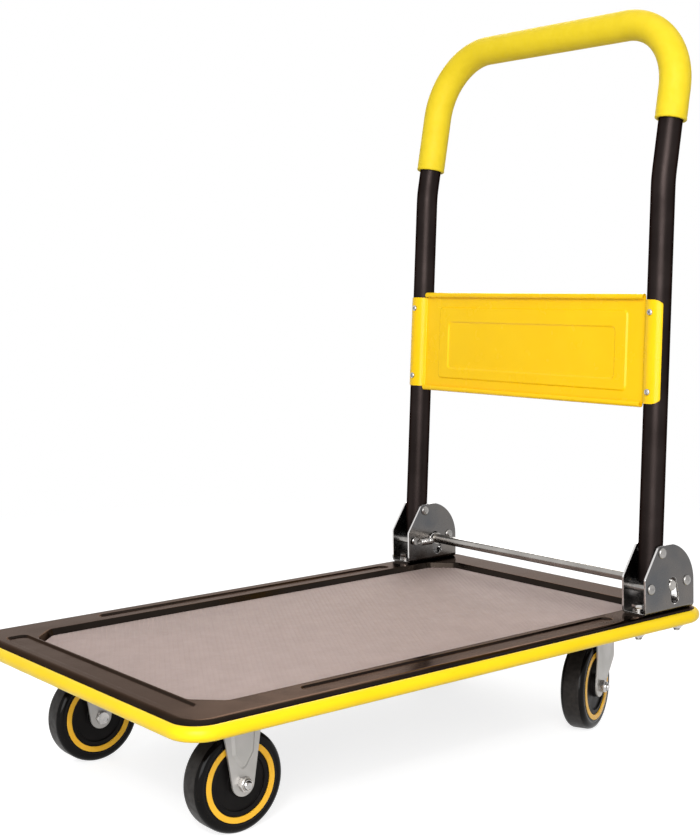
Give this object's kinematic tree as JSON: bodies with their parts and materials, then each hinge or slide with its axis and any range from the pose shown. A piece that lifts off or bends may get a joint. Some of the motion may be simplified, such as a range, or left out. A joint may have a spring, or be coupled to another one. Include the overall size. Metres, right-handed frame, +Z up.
{
  "type": "folding platform trolley",
  "caption": "Flat platform trolley with a folding tube handle, sprung foot release bar, pressed deck with mat and bumper, rigid front and swivel rear casters.",
  "frame": {"origin": "on the floor under the middle of the platform", "axes": "+X to the handle end, +Y to the user's right at the handle, +Z up"},
  "size_m": [0.7203, 0.46, 0.8435],
  "materials": {
    "black_enamel": "gloss",
    "grey_mat": "matte",
    "yellow_rubber": "satin",
    "yellow_foam": "matte",
    "yellow_enamel": "gloss",
    "yellow_plastic": "gloss",
    "tyre_rubber": "satin",
    "black_plastic": "satin",
    "zinc": "zinc plated",
    "bright_steel": "polished"
  },
  "bodies": {
    "deck": {"bracket_bolts": "zinc", "bracket_nuts": "zinc", "bracket_washers": "zinc", "caster_bolts": "zinc", "caster_nuts": "zinc", "deck_mat": "grey_mat", "deck_panel": "black_enamel", "edge_bumper": "yellow_rubber", "front_cross_channel": "black_enamel", "front_left_axle_bolt": "zinc", "front_left_axle_nut": "zinc", "front_left_axle_sleeve": "zinc", "front_left_fork": "zinc", "front_right_axle_bolt": "zinc", "front_right_axle_nut": "zinc", "front_right_axle_sleeve": "zinc", "front_right_fork": "zinc", "left_hinge_bracket": "zinc", "left_release_spring": "bright_steel", "pivot_rivets": "zinc", "rear_cross_channel": "black_enamel", "rear_left_caster_plate": "zinc", "rear_left_kingpin": "zinc", "rear_right_caster_plate": "zinc", "rear_right_kingpin": "zinc", "rear_rivets": "zinc", "right_hinge_bracket": "zinc", "right_release_spring": "bright_steel", "stop_rivets": "zinc"},
    "handle": {"handle_grip": "yellow_foam", "handle_panel": "yellow_enamel", "handle_tube": "black_enamel", "panel_screws": "zinc"},
    "release_bar": {"bar_collars": "zinc", "release_bar": "zinc"},
    "left_swivel": {"rear_left_axle_bolt": "zinc", "rear_left_axle_nut": "zinc", "rear_left_axle_sleeve": "zinc", "rear_left_balls": "bright_steel", "rear_left_fork": "zinc"},
    "right_swivel": {"rear_right_axle_bolt": "zinc", "rear_right_axle_nut": "zinc", "rear_right_axle_sleeve": "zinc", "rear_right_balls": "bright_steel", "rear_right_fork": "zinc"},
    "front_left_wheel": {"front_left_wheel_core": "black_plastic", "front_left_wheel_rings": "yellow_plastic", "front_left_wheel_tyre": "tyre_rubber"},
    "front_right_wheel": {"front_right_wheel_core": "black_plastic", "front_right_wheel_rings": "yellow_plastic", "front_right_wheel_tyre": "tyre_rubber"},
    "rear_left_wheel": {"rear_left_wheel_core": "black_plastic", "rear_left_wheel_rings": "yellow_plastic", "rear_left_wheel_tyre": "tyre_rubber"},
    "rear_right_wheel": {"rear_right_wheel_core": "black_plastic", "rear_right_wheel_rings": "yellow_plastic", "rear_right_wheel_tyre": "tyre_rubber"}
  },
  "joints": [
    {"name": "handle_fold", "type": "hinge", "parent": "deck", "child": "handle", "pos_m": [0.2803, 0, 0.2102], "axis": [0, -1, 0], "range_deg": [0, 100]},
    {"name": "release_press", "type": "slide", "parent": "deck", "child": "release_bar", "axis": [0.2045, 0, -0.9789], "range_m": [0, 0.015], "stiffness_N_per_m": 1500, "springref_m": -0.006, "deforming": ["left_release_spring", "right_release_spring"]},
    {"name": "left_swivel", "type": "hinge", "parent": "deck", "child": "left_swivel", "pos_m": [0.2587, -0.1322, 0.1], "axis": [0, 0, 1], "continuous": true},
    {"name": "right_swivel", "type": "hinge", "parent": "deck", "child": "right_swivel", "pos_m": [0.2587, 0.1322, 0.1], "axis": [0, 0, 1], "continuous": true},
    {"name": "front_left_spin", "type": "hinge", "parent": "deck", "child": "front_left_wheel", "pos_m": [-0.252, -0.139, 0.05], "axis": [0, 1, 0], "continuous": true},
    {"name": "rear_left_spin", "type": "hinge", "parent": "left_swivel", "child": "rear_left_wheel", "pos_m": [0.2403, -0.14005, 0.05], "axis": [-0.3923, 0.9198, 0], "continuous": true},
    {"name": "front_right_spin", "type": "hinge", "parent": "deck", "child": "front_right_wheel", "pos_m": [-0.252, 0.139, 0.05], "axis": [0, 1, 0], "continuous": true},
    {"name": "rear_right_spin", "type": "hinge", "parent": "right_swivel", "child": "rear_right_wheel", "pos_m": [0.2403, 0.12435, 0.05], "axis": [-0.3923, 0.9198, 0], "continuous": true}
  ]
}
